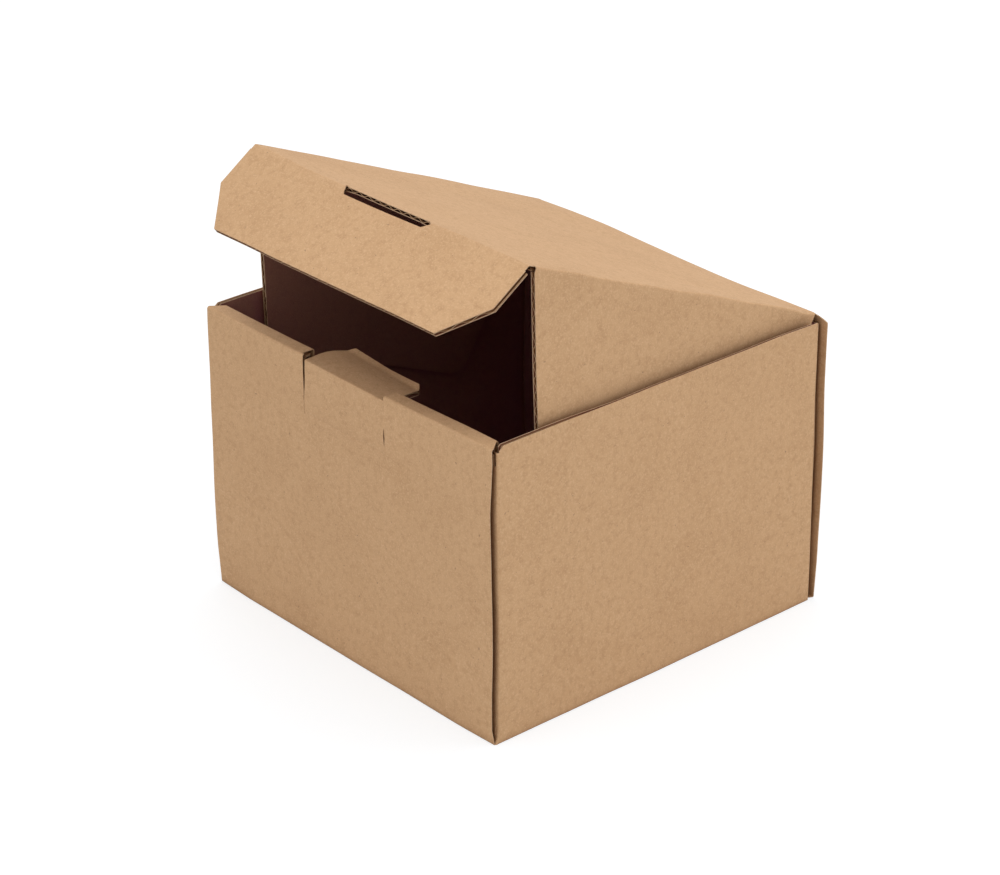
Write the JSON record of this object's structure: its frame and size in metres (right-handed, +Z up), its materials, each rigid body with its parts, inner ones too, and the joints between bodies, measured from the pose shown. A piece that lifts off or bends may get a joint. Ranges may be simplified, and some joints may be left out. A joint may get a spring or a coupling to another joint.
{
  "type": "corrugated mailer box",
  "caption": "Kraft corrugated mailer box folded from a die-cut sheet, with a rolled front wall, a hinged lid with tucked side flaps, a slotted front flap and a lock tongue",
  "frame": {"origin": "middle of the base, on the surface that the box stands on", "axes": "X runs along the front from left to right, Y from the front to the back, Z is up"},
  "size_m": [0.2, 0.2098, 0.2154],
  "materials": {
    "kraft_board": "matt unbleached kraft paper over single-wall corrugated board, with fine fibre flecks"
  },
  "bodies": {
    "tray": {"tray": "kraft_board"},
    "lid": {"lid": "kraft_board"},
    "front_flap": {"front_flap": "kraft_board"},
    "side_flap_left": {"side_flap_left": "kraft_board"},
    "side_flap_right": {"side_flap_right": "kraft_board"},
    "lock_tongue": {"lock_tongue": "kraft_board"}
  },
  "joints": [
    {"name": "lid_hinge", "type": "hinge", "parent": "tray", "child": "lid", "pos_m": [0, 0.10062, 0.1425], "axis": [-1, 0, 0], "range_deg": [-2, 187]},
    {"name": "front_flap_hinge", "type": "hinge", "parent": "lid", "child": "front_flap", "pos_m": [0, -0.07221, 0.21551], "axis": [1, 0, 0], "range_deg": [-56.6, 33.2]},
    {"name": "side_flap_left_hinge", "type": "hinge", "parent": "lid", "child": "side_flap_left", "pos_m": [-0.092, 0.09964, 0.1402], "axis": [0, -0.9212, 0.3891], "range_deg": [0, 85]},
    {"name": "side_flap_right_hinge", "type": "hinge", "parent": "lid", "child": "side_flap_right", "pos_m": [0.092, 0.09964, 0.1402], "axis": [0, 0.9212, -0.3891], "range_deg": [0, 85]},
    {"name": "tongue_hinge", "type": "hinge", "parent": "tray", "child": "lock_tongue", "pos_m": [0, -0.099, 0.1404], "axis": [1, 0, 0], "range_deg": [-12, 92]}
  ]
}
